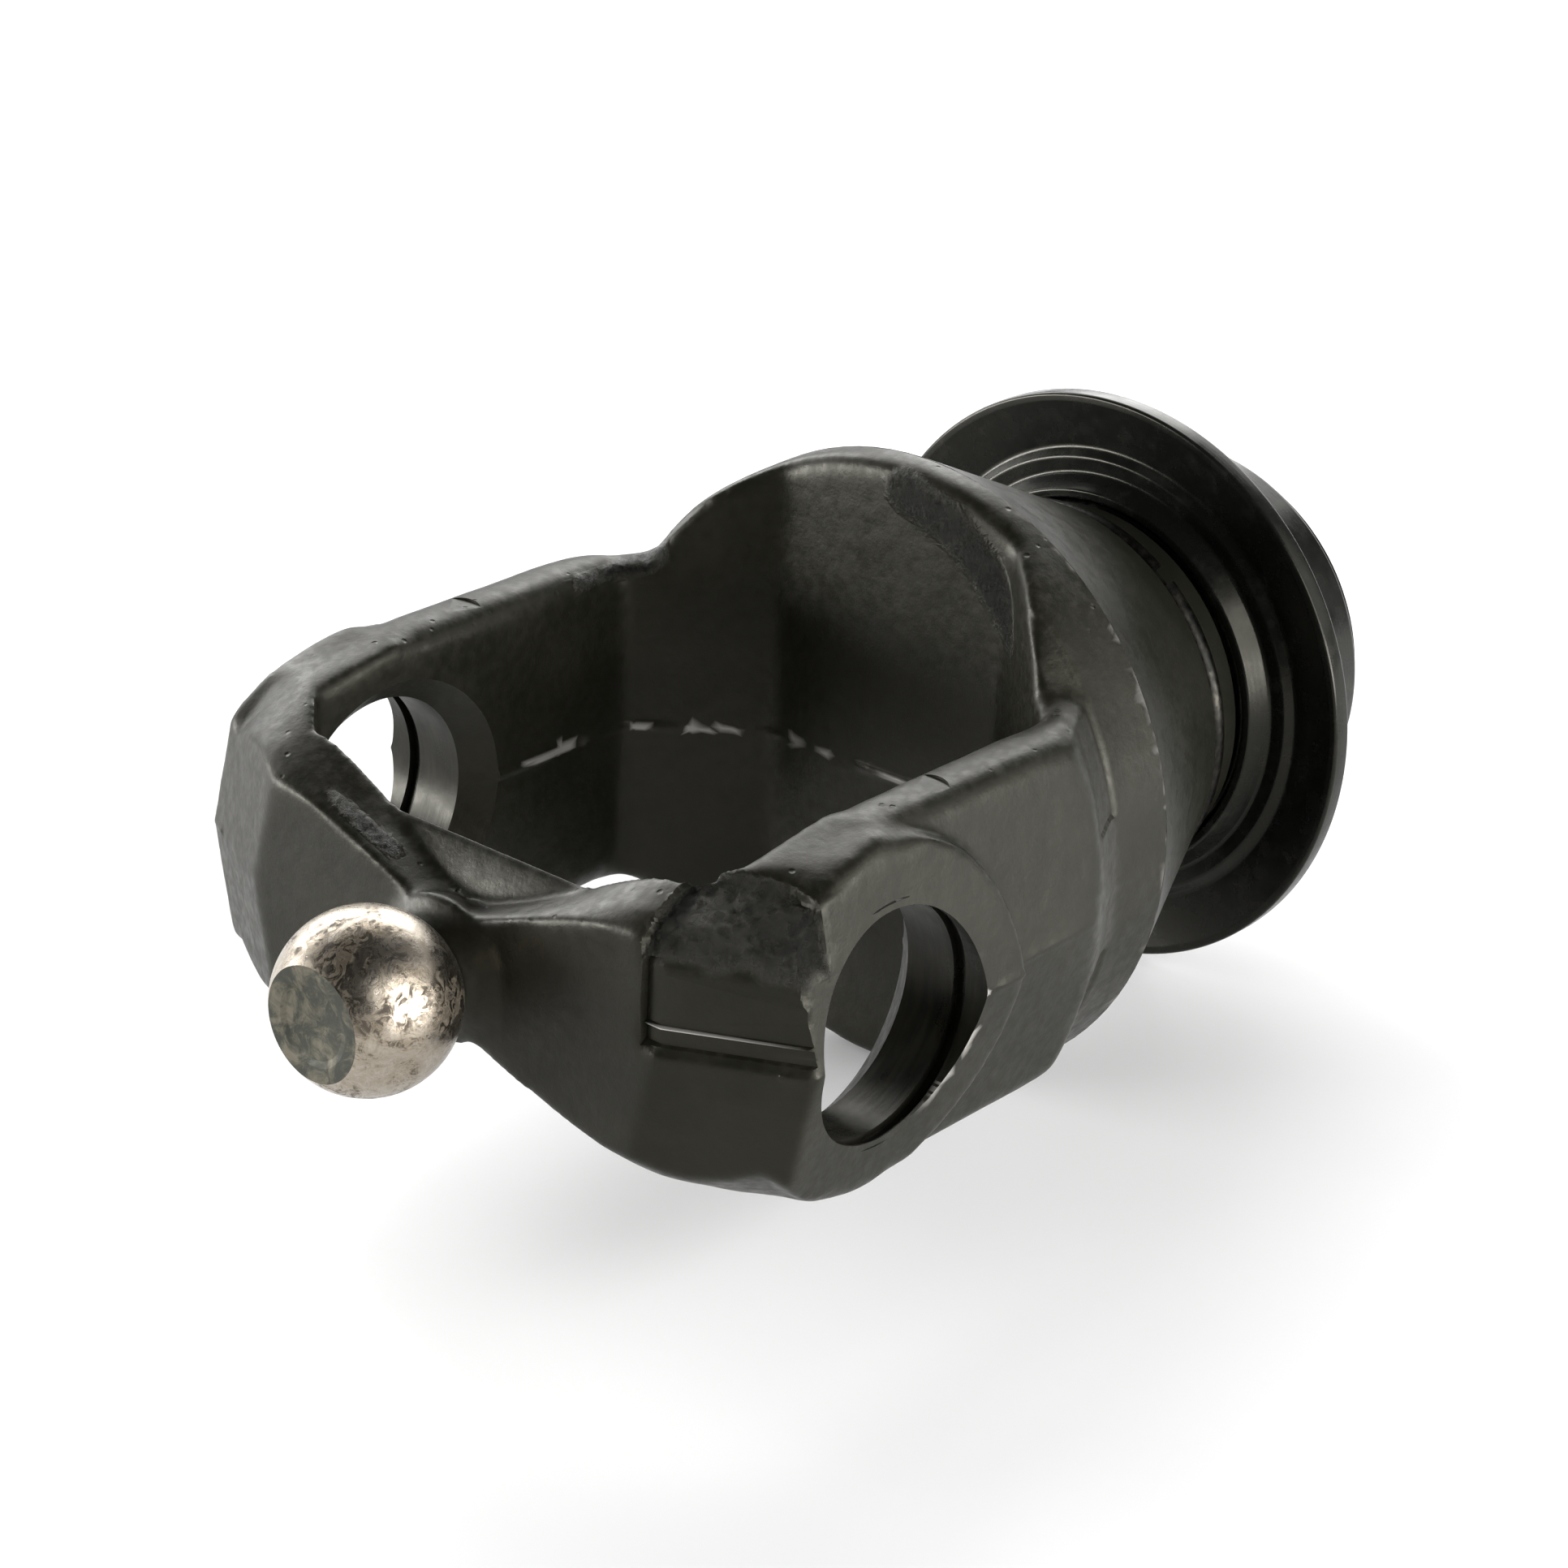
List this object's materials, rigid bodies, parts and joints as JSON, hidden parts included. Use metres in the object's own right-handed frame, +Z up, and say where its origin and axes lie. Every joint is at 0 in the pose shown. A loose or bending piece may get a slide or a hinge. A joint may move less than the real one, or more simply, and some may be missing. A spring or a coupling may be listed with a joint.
{
  "type": "driveline yoke",
  "caption": "Forged wide-angle driveline yoke: closed fork with a centring ball in front, cross bores in its ears and a splined hub with a sliding quick-release collar.",
  "frame": {"origin": "where the cross (trunnion) axis through the two ears meets the shaft axis", "axes": "+X along the shaft towards the splined hub, +Y along the cross bores, +Z up, square to the forging's parting plane"},
  "size_m": [0.1899, 0.108, 0.092],
  "materials": {
    "forged_paint": "satin black paint over a forged surface",
    "collar_black": "gloss black coating over a turned surface",
    "ball_steel": "ground steel with dark stains",
    "ring_steel": "spring steel, oiled"
  },
  "bodies": {
    "yoke": {"yoke": "forged_paint", "centring_ball": "ball_steel", "stop_ring": "ring_steel", "thrust_washer": "ring_steel", "retaining_ring": "ring_steel", "return_spring": "ring_steel"},
    "collar": {"release_collar": "collar_black"},
    "lock_ball_1": {"lock_ball_1": "ball_steel"},
    "lock_ball_2": {"lock_ball_2": "ball_steel"},
    "lock_ball_3": {"lock_ball_3": "ball_steel"}
  },
  "joints": [
    {"name": "collar_slide", "type": "slide", "parent": "yoke", "child": "collar", "axis": [-1, 0, 0], "range_m": [0, 0.0055], "stiffness_N_per_m": 4000, "springref_m": -0.01, "deforming": ["return_spring"]},
    {"name": "lock_ball_1_slide", "type": "slide", "parent": "yoke", "child": "lock_ball_1", "axis": [0, 0, 1], "range_m": [0, 0.00256]},
    {"name": "lock_ball_2_slide", "type": "slide", "parent": "yoke", "child": "lock_ball_2", "axis": [0, -0.866, -0.5], "range_m": [0, 0.00256]},
    {"name": "lock_ball_3_slide", "type": "slide", "parent": "yoke", "child": "lock_ball_3", "axis": [0, 0.866, -0.5], "range_m": [0, 0.00256]}
  ],
  "couplings": [
    {"joint": "lock_ball_1_slide", "follows": "collar_slide", "ratio": 0.4636},
    {"joint": "lock_ball_2_slide", "follows": "collar_slide", "ratio": 0.4636},
    {"joint": "lock_ball_3_slide", "follows": "collar_slide", "ratio": 0.4636}
  ]
}
